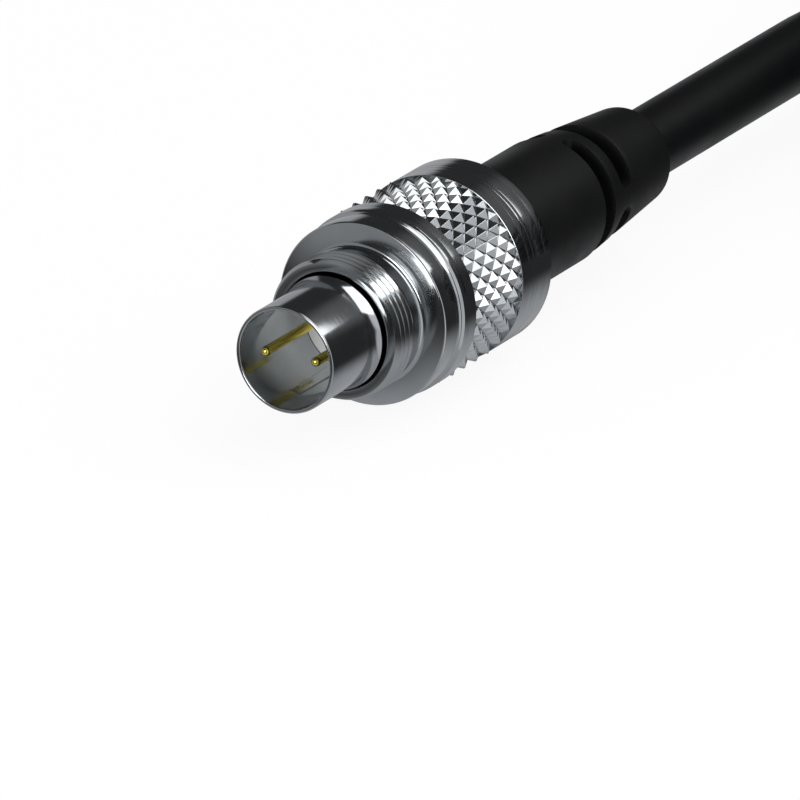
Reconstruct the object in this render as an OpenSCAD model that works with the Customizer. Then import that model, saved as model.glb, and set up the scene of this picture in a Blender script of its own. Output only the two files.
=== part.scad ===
// Moulded two-contact cable plug with a screw-locking ring, on a screened lead.
// The plug lies along Y with its open mouth towards -Y and its lead towards +Y.
// Places along it are measured back from the mouth, as "a".

/* [Shield tube] */
// Outside diameter of the tube that plugs in
tube_d = 6.75; // [6.5:0.05:7]
// Wall of the tube
tube_wall = 0.25; // [0.2:0.01:0.32]
// Length of tube ahead of the locking ring
tube_reach = 5.75; // [4.5:0.05:7]
// How far the tube tapers in, in radius, behind its exposed length
tube_step = 0.06; // [0.04:0.01:0.08]
// Rounding of the tube's rim
rim_r = 0.1; // [0.05:0.01:0.12]
// Depth from the mouth to the face of the contact insert
cavity_depth = 7.6; // [6.8:0.1:8.4]
// Width of the polarising rib inside the tube
key_w = 0.7; // [0.4:0.05:1.2]
// Height of the polarising rib
key_h = 0.3; // [0.2:0.05:0.5]
// Direction of the polarising rib, round from +X
key_angle = -104; // [-150:1:-60]
// Distance of the rib behind the mouth
key_setback = 0.9; // [0.4:0.1:2]

/* [Contacts] */
// Diameter of a contact pin
pin_d = 0.6; // [0.5:0.05:0.8]
// Distance between the two pins
pin_spacing = 3.5; // [3:0.1:3.8]
// Distance of the pin tips behind the mouth
pin_recess = 0.5; // [0.2:0.1:2]
// Diameter of a pin's locating shoulder
shoulder_d = 1.2; // [1.1:0.05:1.4]
// Length of a pin's locating shoulder
shoulder_len = 1; // [0.5:0.1:1.5]
// Outside diameter of a solder cup
cup_d = 1; // [0.95:0.05:1.08]
// Length of a solder cup behind the insert
cup_len = 2.5; // [2:0.1:2.7]
// Length of the contact insert
insert_len = 5.9; // [5:0.1:7]
// Thickness of the plate that holds the contacts
retainer_len = 1.5; // [1:0.1:2]

/* [Locking ring] */
// Major diameter of the locking thread
thread_d = 9; // [8.9:0.05:9.2]
// Length of the thread
thread_len = 2; // [1.5:0.1:2.4]
// Chamfer at the start of the thread
thread_chamfer = 0.2; // [0.1:0.01:0.25]
// Diameter of the neck behind the thread
neck_d = 8.5; // [8.3:0.05:8.7]
// Length of the neck
neck_len = 1.4; // [1:0.1:2]
// Fillet between neck and flange
neck_fillet = 0.3; // [0.1:0.05:0.5]
// Diameter of the flange
flange_d = 11.65; // [11.2:0.05:11.7]
// Length of the flange
flange_len = 2.05; // [1.8:0.05:2.5]
// Thickness of the web behind the flange's face
web_t = 0.8; // [0.6:0.05:1]
// Diameter of the plain bands on either side of the knurl
band_d = 11.9; // [11.8:0.02:12]
// Length of the plain band ahead of the knurl
front_band_len = 1.45; // [1.2:0.05:2]
// Diameter over the knurl's points
knurl_d = 12.1; // [12.06:0.02:12.3]
// Length of the knurl
knurl_len = 5.65; // [5:0.05:6.4]
// Depth of the knurl
knurl_depth = 0.36; // [0.26:0.02:0.4]
// Number of knurl points in one row round the ring
knurl_count = 32; // [24:1:40]
// Number of knurl rows along the ring
knurl_rows = 4; // [3:1:5]
// Turn of the knurl from the +X side
knurl_phase = 7; // [0:0.1:11]
// Length of the plain band behind the knurl
rear_band_len = 3.65; // [3:0.05:4.5]
// Radial gap between the tube and the ring's front bore
tube_gap = 0.27; // [0.2:0.01:0.3]
// Small chamfer on the ring's edges
edge_c = 0.08; // [0.04:0.01:0.12]
// Chamfer at the ring's rear
rear_c = 0.16; // [0.1:0.01:0.25]

/* [Shell and seal] */
// Diameter of the seal's section
seal_d = 0.8; // [0.6:0.05:0.9]
// Length of the collar that the ring turns on
collar_len = 1; // [0.8:0.05:1.2]
// Height of the collar above the shell
collar_step = 0.65; // [0.6:0.01:0.7]
// Wall of the shell round the tube
shell_side_wall = 0.355; // [0.3:0.005:0.4]
// Thickness of the shell's rear wall
shell_wall = 1; // [0.8:0.1:1.4]
// Thickness of the retaining ring
snap_t = 0.5; // [0.3:0.05:0.6]
// Depth of the retaining ring's groove
snap_groove = 0.35; // [0.25:0.01:0.4]
// Gap in the split retaining ring
snap_gap = 2.4; // [1.5:0.1:3.5]
// Bore of the crimp barrel
barrel_bore_d = 5.2; // [5:0.05:5.3]
// Wall of the crimp barrel
barrel_wall = 0.35; // [0.25:0.01:0.4]
// Length of the crimp barrel
barrel_len = 4; // [3.6:0.1:4.4]
// Thickness of the screen braid
braid_t = 0.15; // [0.1:0.01:0.18]
// Wall of the crimp ferrule
ferrule_wall = 0.24; // [0.16:0.01:0.26]

/* [Strain relief] */
// Radial gap between the relief and the locking ring
relief_gap = 0.25; // [0.2:0.05:0.35]
// Diameter of the relief at its rear end
relief_tip_d = 6.5; // [6.3:0.05:7.2]
// Length of the relief behind the locking ring
relief_len = 19.85; // [18:0.05:24]
// Length of its straight part behind the locking ring
straight_len = 9.8; // [9:0.05:11]
// Rounding of its rear edge
relief_round = 0.4; // [0.2:0.05:0.6]
// Width of the front row of bend slots
slot_w = 1.45; // [1:0.05:1.7]
// Width of the rear row of bend slots
rear_slot_w = 1.6; // [1:0.05:1.8]
// Width of the rib between the two rows
rib_w = 1.1; // [0.8:0.05:1.4]
// Width of the bridges between the slots of one row
bridge_w = 1.4; // [1:0.1:2]
// Diameter at the floor of the slots
slot_floor_d = 5.4; // [5.2:0.05:5.6]

/* [Lead] */
// Outside diameter of the lead
cable_d = 4.6; // [4.5:0.02:4.62]
// Thickness of the lead's jacket
jacket_t = 0.62; // [0.5:0.01:0.62]
// Diameter of an insulated core
core_d = 1.4; // [1.1:0.05:1.44]
// Distance between the cores inside the lead
core_spacing = 1.5; // [1.46:0.01:1.54]
// Diameter of a stranded conductor
wire_d = 0.6; // [0.4:0.02:0.7]
// Diameter of the coil at the middle of its turns
coil_mid_d = 50; // [46:1:56]
// Turns side by side in the coil
coil_columns = 3; // [2:1:3]
// Layers of turns in the coil
coil_layers = 4; // [3:1:5]
// Width of the tie
tie_w = 3; // [2:0.1:4]
// Thickness of the tie
tie_t = 0.7; // [0.5:0.05:1]
// Length of the tie's head along the lead
tie_head_len = 5; // [4:0.1:6]
// Angle of jacketed lead that lies on top of the coil
tail_arc = 80; // [60:1:90]
// Angle of bared cores at the lead's end
bare_arc = 40; // [30:1:50]
// Angle of bared conductor at each core's end
strip_arc = 11; // [8:1:16]

/* [Hidden] */
$fn = 64;

// Clearances
seat_gap = 0.03;    // pieces pushed or moulded together
running_gap = 0.05; // radial, between the collar and the ring's bore
end_float = 0.1;    // axial, between the collar and the retaining ring
soft_gap = 0.2;     // round the seal
tie_gap = 0.1;      // between the tie and the coil
over = 1;           // how far a cutter passes its work
root = 0.05;        // how deep the knurl is rooted in the ring

// Facets of round sections and corners
core_sides = 8;
lead_sides = 10;
corner_facets = 6;
small_fn = 24;
slot_fn = 32;

// Radii
tube_r = tube_d / 2;
tube_in_r = tube_r - tube_wall;
pin_r = pin_d / 2;
ring_front_r = tube_r + tube_gap;
thread_r = thread_d / 2;
neck_r = neck_d / 2;
flange_r = flange_d / 2;
band_r = band_d / 2;
knurl_r = knurl_d / 2;
valley_r = knurl_r - knurl_depth;
tube_rear_r = tube_r - tube_step;
shell_in_r = tube_rear_r + seat_gap;
shell_r = shell_in_r + shell_side_wall;
collar_r = shell_r + collar_step;
ring_bore_r = collar_r + running_gap;
snap_out_r = ring_bore_r + snap_groove;
barrel_in_r = barrel_bore_d / 2;
barrel_r = barrel_in_r + barrel_wall;
ferrule_in_r = barrel_r + braid_t + 2 * seat_gap;
ferrule_r = ferrule_in_r + ferrule_wall;
relief_r = ring_bore_r - relief_gap;
relief_tip_r = relief_tip_d / 2;
slot_floor_r = slot_floor_d / 2;
cable_r = cable_d / 2;
jacket_in_r = cable_r - jacket_t;
braid_r = jacket_in_r - seat_gap;
braid_in_r = braid_r - braid_t;
core_r = core_d / 2;
wire_r = wire_d / 2;
insert_r = tube_in_r - seat_gap;

// Short steps along the plug, between neighbouring pieces
braid_step = 0.4;      // shell's rear wall to the braid
ferrule_step = 0.1;    // braid's front edge to the ferrule
ferrule_short = 0.2;   // ferrule's end to the barrel's end
flare_len = 1.6;       // barrel's end to the lead's jacket
cup_floor_step = 0.5;  // retainer to the floor of a solder cup
wire_step = 0.1;       // floor of a cup to the conductor's end
insulation_step = 0.2; // solder cup to its core's insulation
core_straight = 0.3;   // straight start of a core
gather_short = 0.2;    // where the cores lie together, ahead of the jacket
slot_step = 0.05;      // start of the relief's taper to its first slots
taper_len = 0.7;       // where the tube tapers in

// Places along the plug, back from the mouth
ring_a = tube_reach;
land_end_a = ring_a - running_gap;
flange_a = ring_a + thread_len + neck_len;
step_a = flange_a + flange_len;
knurl_a = step_a + front_band_len;
knurl_end_a = knurl_a + knurl_len;
ring_end_a = knurl_end_a + rear_band_len;
chamber_a = flange_a + web_t;
seal_a = chamber_a + soft_gap;
collar_a = seal_a + seal_d + seat_gap;
snap_a = collar_a + collar_len + end_float;
relief_a = snap_a + snap_t + 2 * soft_gap;
retainer_a = cavity_depth + insert_len;
tube_end_a = retainer_a + retainer_len;
shell_inside_a = tube_end_a + seat_gap;
shell_end_a = shell_inside_a + shell_wall;
barrel_end_a = shell_end_a + barrel_len;
braid_a = shell_end_a + braid_step;
ferrule_a = braid_a + ferrule_step;
ferrule_end_a = barrel_end_a - ferrule_short;
jacket_a = barrel_end_a + flare_len;
cup_floor_a = tube_end_a + cup_floor_step;
cup_end_a = tube_end_a + cup_len;
core_a = cup_end_a + insulation_step;
splay_a = core_a + core_straight;
gather_a = jacket_a - gather_short;
taper_a = ring_end_a + straight_len;
relief_end_a = ring_end_a + relief_len;

// The origin is under the middle of the plug, on the surface that it lies on
mouth_y = -relief_end_a / 2;
axis_z = knurl_r;

// Turned details of the locking ring
cove_w = 0.5;
cove_depth = 0.12;
cove_land = 0.15;
line_w = 0.14;
line_depth = 0.05;
rear_lines = [0.41, 0.51]; // as shares of the rear band
lip_c = 0.1;
nose_from = 5; // where the relief's rear rounding starts, in degrees

// The lead's route from the relief to the coil
lead_route = [
    [0, 20.9, 6.05], [0, 28, 6.05], [0, 36, 6.05], [0, 44, 6.05],
    [0, 46, 5.96], [0, 48, 5.69], [0, 50, 5.28], [0, 52, 4.75], [0, 54, 4.18],
    [0, 56, 3.6], [0, 58, 3.07], [0, 60, 2.66], [0, 62, 2.39], [0, 64, 2.3],
    [0, 72, 2.3]
];
coil_y = 72;
coil_half_w = coil_columns * cable_r;
coil_h = coil_layers * cable_d;
coil_mid_r = coil_mid_d / 2;
coil_x = coil_mid_r + (coil_columns - 1) * cable_r;
tie_turn = 60;
tail_turn = -150;
tail_z = coil_h + cable_r;

// Points of an arc
function arc(x, y, r, from, to, n = corner_facets) =
    [for (k = [0:n]) let (t = from + (to - from) * k / n) [x + r * cos(t), y + r * sin(t)]];

// A V-shaped turned line in a band
function turned_line(a) =
    [[band_r, a - line_w / 2], [band_r - line_depth, a], [band_r, a + line_w / 2]];

function unit(v) = v / norm(v);

// Direction of a route at its point i
function heading(p, i) = unit(p[min(i + 1, len(p) - 1)] - p[max(i - 1, 0)]);

// Ring of points round point i of a route that never runs along X
function hoop(p, i, r, sides) =
    let (along = heading(p, i), side = unit(cross([0, 0, 1], along)), up = cross(along, side))
    [for (k = [0:sides - 1]) let (t = 360 * (k + 0.5) / sides)
        p[i] + r * cos(t) * side + r * sin(t) * up];

// Stands children that are built along Z on the plug's axis, back from the mouth
module on_axis(a = 0) {
    translate([0, mouth_y + a, axis_z]) rotate([-90, 0, 0]) children();
}

// Turns an outline of [radius, a] points about the plug's axis
module turned(outline) {
    on_axis() rotate_extrude() polygon(outline);
}

// Round body swept along a route
module swept(p, r, sides) {
    points = [for (i = [0:len(p) - 1]) each hoop(p, i, r, sides)];
    last = (len(p) - 1) * sides;
    walls = [for (i = [0:len(p) - 2]) for (k = [0:sides - 1])
        let (n = (k + 1) % sides, b = i * sides)
        each [[b + k, b + n, b + sides + n], [b + k, b + sides + n, b + sides + k]]];
    ends = [[for (k = [sides - 1:-1:0]) k], [for (k = [0:sides - 1]) last + k]];
    polyhedron(points, concat(walls, ends), convexity = 4);
}

// Round tube swept along a route: out along its outside and back along its inside
module swept_tube(p, r, in_r, sides) {
    count = len(p);
    hoops = concat([for (i = [0:count - 1]) hoop(p, i, r, sides)],
        [for (i = [count - 1:-1:0]) hoop(p, i, in_r, sides)]);
    faces = [for (i = [0:2 * count - 1]) for (k = [0:sides - 1])
        let (n = (k + 1) % sides, b = i * sides, c = ((i + 1) % (2 * count)) * sides)
        each [[b + k, b + n, c + n], [b + k, c + n, c + k]]];
    polyhedron([for (h = hoops) each h], faces, convexity = 4);
}

module shield_tube() {
    rib_in = tube_in_r - key_h;
    color("slategray") union() {
        turned(concat(
            arc(tube_in_r + rim_r, rim_r, rim_r, 180, 270),
            arc(tube_r - rim_r, rim_r, rim_r, 270, 360),
            [[tube_r, land_end_a], [tube_rear_r, land_end_a + taper_len],
             [tube_rear_r, tube_end_a], [tube_in_r, tube_end_a]]
        ));
        on_axis(key_setback) rotate([0, 0, -key_angle])
            translate([rib_in, -key_w / 2, 0])
                cube([key_h + tube_wall / 2, key_w, cavity_depth - seat_gap - key_setback]);
    }
}

module ring_seal() {
    section_r = seal_d / 2;
    color("black") on_axis(seal_a + section_r) rotate_extrude()
        translate([tube_rear_r + seat_gap + section_r, 0]) circle(r = section_r, $fn = small_fn);
}

module body_shell() {
    color("silver") turned([
        [shell_in_r, collar_a], [collar_r - edge_c, collar_a], [collar_r, collar_a + edge_c],
        [collar_r, collar_a + collar_len - edge_c], [collar_r - edge_c, collar_a + collar_len],
        [shell_r, collar_a + collar_len], [shell_r, shell_end_a],
        [barrel_r, shell_end_a], [barrel_r, barrel_end_a], [barrel_in_r, barrel_end_a],
        [barrel_in_r, shell_inside_a], [shell_in_r, shell_inside_a]
    ]);
}

// Turned body of the locking ring, with its groove for the retaining ring
function ring_outline() = concat(
    [[ring_front_r + lip_c, ring_a], [thread_r - thread_chamfer, ring_a],
     [thread_r, ring_a + thread_chamfer], [thread_r, ring_a + thread_len],
     [neck_r, ring_a + thread_len + thread_r - neck_r]],
    arc(neck_r + neck_fillet, flange_a - neck_fillet, neck_fillet, 180, 90),
    [[flange_r - edge_c, flange_a], [flange_r, flange_a + edge_c]],
    [for (k = [0:6]) [flange_r - cove_depth * sin(30 * k),
        step_a - cove_land - cove_w * (6 - k) / 6]],
    [[band_r, step_a], [band_r, knurl_a], [valley_r - root, knurl_a],
     [valley_r - root, knurl_end_a], [band_r, knurl_end_a]],
    [for (part = rear_lines) each turned_line(knurl_end_a + part * rear_band_len)],
    [[band_r, ring_end_a - rear_c], [band_r - rear_c, ring_end_a],
     [ring_bore_r, ring_end_a], [ring_bore_r, snap_a + snap_t + seat_gap],
     [snap_out_r + seat_gap, snap_a + snap_t + seat_gap],
     [snap_out_r + seat_gap, snap_a - seat_gap], [ring_bore_r, snap_a - seat_gap],
     [ring_bore_r, chamber_a], [ring_front_r, chamber_a], [ring_front_r, ring_a + lip_c]]
);

// Diamond knurl: points and valleys alternate on a grid, two steps to a pitch.
// Its first and last rings are buried in the plain bands.
module knurl() {
    around = 2 * knurl_count;
    along = 2 * knurl_rows;
    bury = front_band_len / 4;
    buried_r = valley_r - 4 * root;
    inner_r = buried_r - 4 * root;
    step = knurl_len / along;
    function row_r(i, j) =
        (i + j) % 2 == 0 ? valley_r : (j == 0 || j == along ? band_r - root : knurl_r);
    function at(i, r, a) =
        let (t = knurl_phase + 360 * i / around) [r * cos(t), -r * sin(t), a];
    rows = concat(
        [[for (i = [0:around - 1]) at(i, inner_r, knurl_a - bury)]],
        [[for (i = [0:around - 1]) at(i, buried_r, knurl_a - bury)]],
        [for (j = [0:along]) [for (i = [0:around - 1])
            at(i, row_r(i, j), knurl_a + j * step)]],
        [[for (i = [0:around - 1]) at(i, buried_r, knurl_end_a + bury)]],
        [[for (i = [0:around - 1]) at(i, inner_r, knurl_end_a + bury)]]
    );
    total = len(rows);
    points = [for (row = rows) each row];
    faces = [for (j = [0:total - 1]) for (i = [0:around - 1])
        let (n = (i + 1) % around, k = (j + 1) % total,
             a = j * around + i, b = j * around + n, c = k * around + n, d = k * around + i)
        each ((i + j) % 2 == 0 ? [[a, b, d], [b, c, d]] : [[a, b, c], [a, c, d]])];
    polyhedron(points, faces, convexity = 6);
}

module locking_ring() {
    color("dimgray") union() {
        turned(ring_outline());
        on_axis() knurl();
    }
}

module retaining_ring() {
    color("lightgray") difference() {
        on_axis(snap_a) difference() {
            cylinder(r = snap_out_r, h = snap_t);
            translate([0, 0, -over]) cylinder(r = shell_r + soft_gap, h = snap_t + 2 * over);
        }
        translate([-snap_gap / 2, mouth_y + snap_a - over, axis_z])
            cube([snap_gap, snap_t + 2 * over, snap_out_r + over]);
    }
}

// Both pin positions of the plug
module at_pin(side, a = 0) {
    translate([side * pin_spacing / 2, 0, 0]) on_axis(a) children();
}

module contact_insert() {
    color("gainsboro") difference() {
        on_axis(cavity_depth) cylinder(r = insert_r, h = insert_len);
        for (side = [-1, 1]) {
            at_pin(side, cavity_depth - over) cylinder(r = pin_r + seat_gap, h = insert_len + 2 * over);
            at_pin(side, retainer_a - shoulder_len - seat_gap)
                cylinder(d = shoulder_d + 2 * seat_gap, h = shoulder_len + seat_gap + over);
        }
    }
}

module contact_retainer() {
    color("dimgray") difference() {
        on_axis(retainer_a) cylinder(r = insert_r, h = retainer_len);
        for (side = [-1, 1])
            at_pin(side, retainer_a - over)
                cylinder(d = cup_d + 2 * seat_gap, h = retainer_len + 2 * over);
    }
}

// One turned contact: round nose, shoulder and solder cup
module contact_pin(side) {
    color("gold") difference() {
        at_pin(side) rotate_extrude() polygon(concat(
            [[0, pin_recess]],
            arc(0, pin_recess + pin_r, pin_r, 280, 360, 5),
            [[pin_r, retainer_a - shoulder_len], [shoulder_d / 2, retainer_a - shoulder_len],
             [shoulder_d / 2, retainer_a], [cup_d / 2, retainer_a],
             [cup_d / 2, cup_end_a], [0, cup_end_a]]
        ));
        at_pin(side, cup_floor_a) cylinder(r = wire_r + seat_gap, h = cup_len);
    }
}

module contact_pin_left() { contact_pin(-1); }
module contact_pin_right() { contact_pin(1); }

// Route of one core from its cup, gathered into the lead, starting at place a
function core_route(side, a, end_a) = [
    for (p = [[pin_spacing, a], [pin_spacing, splay_a], [core_spacing, gather_a], [core_spacing, end_a]])
        [side * p[0] / 2, mouth_y + p[1], axis_z]
];

module inner_mould() {
    mould_len = splay_a - shell_inside_a;
    color("ivory") difference() {
        on_axis(shell_inside_a) cylinder(r = barrel_in_r - seat_gap, h = mould_len);
        for (side = [-1, 1]) {
            at_pin(side, tube_end_a - over)
                cylinder(d = cup_d + 2 * seat_gap, h = core_a - tube_end_a + over);
            at_pin(side, cup_end_a + seat_gap) cylinder(d = core_d + 2 * seat_gap, h = mould_len);
        }
    }
}

module crimp_ferrule() {
    color("silver") on_axis(ferrule_a) difference() {
        cylinder(r = ferrule_r, h = ferrule_end_a - ferrule_a);
        translate([0, 0, -over]) cylinder(r = ferrule_in_r, h = barrel_len + 2 * over);
    }
}

// The screen, flared over the crimp barrel
module screen_braid() {
    flare_in = barrel_r + seat_gap;
    flare_a = barrel_end_a + 2 * seat_gap;
    color("darkgray") turned([
        [flare_in, braid_a], [flare_in + braid_t, braid_a], [flare_in + braid_t, flare_a],
        [braid_r, gather_a + braid_t], [braid_r, relief_end_a],
        [braid_in_r, relief_end_a], [braid_in_r, gather_a], [flare_in, flare_a]
    ]);
}

module cable_jacket() {
    color("black") turned([
        [jacket_in_r, jacket_a], [cable_r, jacket_a],
        [cable_r, relief_end_a], [jacket_in_r, relief_end_a]
    ]);
}

module core(side) {
    swept_tube(core_route(side, core_a, relief_end_a), core_r, wire_r + 2 * seat_gap, core_sides);
}

module conductor(side) {
    color("orange") swept(core_route(side, cup_floor_a + wire_step, relief_end_a), wire_r, core_sides);
}

module core_left() { color("saddlebrown") core(-1); }
module core_right() { color("white") core(1); }
module conductor_left() { conductor(-1); }
module conductor_right() { conductor(1); }

// Two bend slots across the relief, with round ends, between two bridges
module bend_slots(a, width, turn) {
    half_bridge = asin((bridge_w + width) / (2 * relief_r));
    reach = relief_r - slot_floor_r + over;
    on_axis(a) for (side = [0, 180]) rotate([0, 0, turn + side]) {
        rotate([0, 0, half_bridge]) rotate_extrude(angle = 180 - 2 * half_bridge)
            translate([slot_floor_r, 0]) square([reach, width]);
        for (end = [half_bridge, 180 - half_bridge])
            rotate([0, 0, end]) translate([slot_floor_r, 0, width / 2])
                rotate([0, 90, 0]) cylinder(d = width, h = reach, $fn = slot_fn);
    }
}

module strain_relief() {
    first_slot_a = taper_a + slot_step;
    second_slot_a = first_slot_a + slot_w + rib_w;
    color("#1b1b1d") difference() {
        turned(concat(
            [[shell_r + seat_gap, relief_a], [relief_r - edge_c, relief_a],
             [relief_r, relief_a + edge_c], [relief_r, taper_a]],
            arc(relief_tip_r - relief_round, relief_end_a - relief_round, relief_round, nose_from, 90),
            [[cable_r + seat_gap, relief_end_a], [cable_r + seat_gap, jacket_a - seat_gap],
             [ferrule_r + seat_gap, barrel_end_a], [ferrule_r + seat_gap, shell_end_a + seat_gap],
             [shell_r + seat_gap, shell_end_a + seat_gap]]
        ));
        bend_slots(first_slot_a, slot_w, 90);
        bend_slots(second_slot_a, rear_slot_w, 0);
    }
}

module cable_lead() {
    color("#222226") swept(lead_route, cable_r, lead_sides);
}

// Places children round the coil, from its centre on the surface
module round_coil(turn = 0) {
    translate([coil_x, coil_y, 0]) rotate([0, 0, turn]) children();
}

// Section of the coil: its turns fill a rectangle with round corners
module coil_section() {
    translate([-coil_half_w + cable_r, 0]) square([2 * coil_half_w - cable_d, coil_h]);
    translate([-coil_half_w, cable_r]) square([2 * coil_half_w, coil_h - cable_d]);
    for (x = [-1, 1]) for (y = [cable_r, coil_h - cable_r])
        translate([x * (coil_half_w - cable_r), y]) circle(r = cable_r, $fn = slot_fn);
}

module cable_coil() {
    color("#222226") difference() {
        round_coil() rotate_extrude() translate([coil_mid_r, 0]) coil_section();
        round_coil(tie_turn) translate([coil_mid_r - coil_half_w - over, -tie_w / 2 - tie_gap, -over])
            cube([2 * (coil_half_w + over), tie_w + 2 * tie_gap, over + tie_t + tie_gap]);
    }
}

// Flat tie round the coil's section, drawn tight into it underneath
module coil_tie() {
    inside = coil_half_w + tie_gap;
    color("black") round_coil(tie_turn) translate([coil_mid_r, -tie_w / 2, 0]) {
        difference() {
            translate([-inside - tie_t, 0, 0])
                cube([2 * (inside + tie_t), tie_w, coil_h + tie_gap + tie_t]);
            translate([-inside, -over, tie_t])
                cube([2 * inside, tie_w + 2 * over, coil_h + tie_gap - tie_t]);
        }
        translate([-tie_head_len / 2, -tie_t, coil_h + tie_gap + tie_t])
            cube([tie_head_len, tie_w + 2 * tie_t, 3 * tie_t]);
    }
}

// Piece of round lead lying along the top of the coil
module lying_arc(r, radius, z, from, angle, sides) {
    round_coil(tail_turn - from - angle) rotate_extrude(angle = angle)
        translate([radius, z]) circle(r = r, $fn = sides);
}

module tail_core(side) {
    difference() {
        lying_arc(core_r, coil_mid_r + side * core_spacing / 2, coil_h + core_r,
            tail_arc, bare_arc, small_fn);
        lying_arc(wire_r + seat_gap, coil_mid_r + side * core_spacing / 2, coil_h + core_r,
            tail_arc - over, bare_arc + 2 * over, small_fn);
    }
}

module tail_conductor(side) {
    color("orange") lying_arc(wire_r, coil_mid_r + side * core_spacing / 2, coil_h + core_r,
        tail_arc, bare_arc + strip_arc, small_fn);
}

module cable_tail() {
    color("#222226") lying_arc(cable_r, coil_mid_r, tail_z, 0, tail_arc, slot_fn);
}

module tail_core_inner() { color("saddlebrown") tail_core(-1); }
module tail_core_outer() { color("white") tail_core(1); }
module tail_conductor_inner() { tail_conductor(-1); }
module tail_conductor_outer() { tail_conductor(1); }

shield_tube();
ring_seal();
body_shell();
locking_ring();
retaining_ring();
contact_insert();
contact_retainer();
contact_pin_left();
contact_pin_right();
inner_mould();
crimp_ferrule();
screen_braid();
strain_relief();
cable_jacket();
core_left();
core_right();
conductor_left();
conductor_right();
cable_lead();
cable_coil();
coil_tie();
cable_tail();
tail_core_inner();
tail_core_outer();
tail_conductor_inner();
tail_conductor_outer();
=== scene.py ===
"""Looks of a moulded two-contact plug: turned metal, gold contacts, slotted relief and a coiled lead."""

from __future__ import annotations

import logging
import math
from dataclasses import dataclass, field
from enum import Enum
from typing import Callable, Sequence

import bmesh
import bpy
from mathutils import Matrix, Vector

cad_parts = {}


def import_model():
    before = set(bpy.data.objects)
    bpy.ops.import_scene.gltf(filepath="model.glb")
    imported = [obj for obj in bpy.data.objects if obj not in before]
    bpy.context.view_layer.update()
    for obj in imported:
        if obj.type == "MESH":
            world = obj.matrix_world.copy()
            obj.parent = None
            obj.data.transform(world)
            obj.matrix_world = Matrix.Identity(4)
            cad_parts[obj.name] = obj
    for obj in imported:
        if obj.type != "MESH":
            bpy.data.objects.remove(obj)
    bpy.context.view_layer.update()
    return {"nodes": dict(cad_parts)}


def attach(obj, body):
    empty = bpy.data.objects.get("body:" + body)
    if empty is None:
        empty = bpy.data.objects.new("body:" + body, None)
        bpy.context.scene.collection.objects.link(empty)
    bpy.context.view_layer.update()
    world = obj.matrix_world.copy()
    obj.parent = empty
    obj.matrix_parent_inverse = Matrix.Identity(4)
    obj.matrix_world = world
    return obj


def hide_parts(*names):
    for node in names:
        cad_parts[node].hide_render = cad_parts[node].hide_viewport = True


logging.basicConfig(level=logging.INFO, format="%(name)s: %(message)s")
log = logging.getLogger("plug")

MM = 0.001
MERGE = 1e-6
MOUTH_Y = -0.0209
AXIS_Z = 0.00605

Outline = list[tuple[float, float]]
Point = tuple[float, float, float]
Piece = bpy.types.Object
Socket = bpy.types.NodeSocket


class Body(Enum):
    """CAD bodies that pieces ride on."""

    PLUG = "plug"
    RING = "ring"


class Slot(Enum):
    """Material slots of the record."""

    SHIELD = "shield_metal"
    RING = "ring_metal"
    GOLD = "contact_gold"
    INSERT = "insert_plastic"
    RELIEF = "relief_rubber"
    JACKET = "jacket_plastic"
    BROWN = "core_brown"
    WHITE = "core_white"
    COPPER = "copper"
    TIE = "tie_plastic"


class Grain(Enum):
    """Fine surface textures a finish can carry."""

    TURNED = "turned grain"
    MOULDED = "moulded grain"


# ---------------------------------------------------------------- modelling helpers


def set_mode(mode: str) -> None:
    """Puts the active piece in EDIT or OBJECT mode."""
    bpy.ops.object.mode_set(mode=mode)


def select_everything() -> None:
    """Selects the whole of a mesh, in edit mode."""
    bpy.ops.mesh.select_all(action="SELECT")


def extrude(x: float, y: float, z: float) -> None:
    """Extrudes what is selected, in edit mode, by a step in millimetres."""
    bpy.ops.mesh.extrude_region_move(TRANSFORM_OT_translate={"value": (x * MM, y * MM, z * MM)})


def deselect_all() -> None:
    """Leaves object mode with nothing selected."""
    if bpy.context.object is not None and bpy.context.object.mode != "OBJECT":
        set_mode("OBJECT")
    bpy.ops.object.select_all(action="DESELECT")


def make_active(piece: Piece) -> None:
    """Selects one piece alone and makes it active.

    Args:
        piece: The piece to work on.
    """
    deselect_all()
    piece.select_set(True)
    bpy.context.view_layer.objects.active = piece


def select_where(piece: Piece, test: Callable[[Vector], bool]) -> None:
    """Selects, in edit mode, the vertices whose place passes a test.

    Args:
        piece: The piece in edit mode.
        test: Says whether a vertex at that place is wanted.
    """
    bpy.ops.mesh.select_mode(type="VERT")
    bpy.ops.mesh.select_all(action="DESELECT")
    shape = bmesh.from_edit_mesh(piece.data)
    for vertex in shape.verts:
        if test(vertex.co):
            vertex.select = True
    shape.select_flush(True)
    bmesh.update_edit_mesh(piece.data)


def tidy_mesh() -> None:
    """Merges doubles and turns the faces outwards, in edit mode."""
    select_everything()
    bpy.ops.mesh.remove_doubles(threshold=MERGE)
    bpy.ops.mesh.normals_make_consistent(inside=False)


def draw_outline(name: str, outline: Outline, start_deg: float = 0.0) -> Piece:
    """Draws a line of [radius, place] points, in millimetres, by extruding one vertex from point to point.

    Args:
        name: Name of the new piece.
        outline: Radius and place back from the mouth of each point.
        start_deg: Direction round the axis in which the line is drawn, from +X towards +Z.

    Returns:
        The piece, in edit mode, drawn round the world's Y axis.
    """
    turn = math.radians(start_deg)
    points = [Vector((r * math.cos(turn), a, r * math.sin(turn))) * MM for r, a in outline]
    deselect_all()
    bpy.ops.mesh.primitive_plane_add(size=MM, location=(0, 0, 0))
    piece = bpy.context.object
    piece.name = name
    piece.data.name = name
    set_mode("EDIT")
    select_everything()
    bpy.ops.mesh.merge(type="CENTER")
    bpy.ops.transform.translate(value=points[0])
    for start, end in zip(points, points[1:]):
        bpy.ops.mesh.extrude_vertices_move(TRANSFORM_OT_translate={"value": end - start})
    return piece


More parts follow.
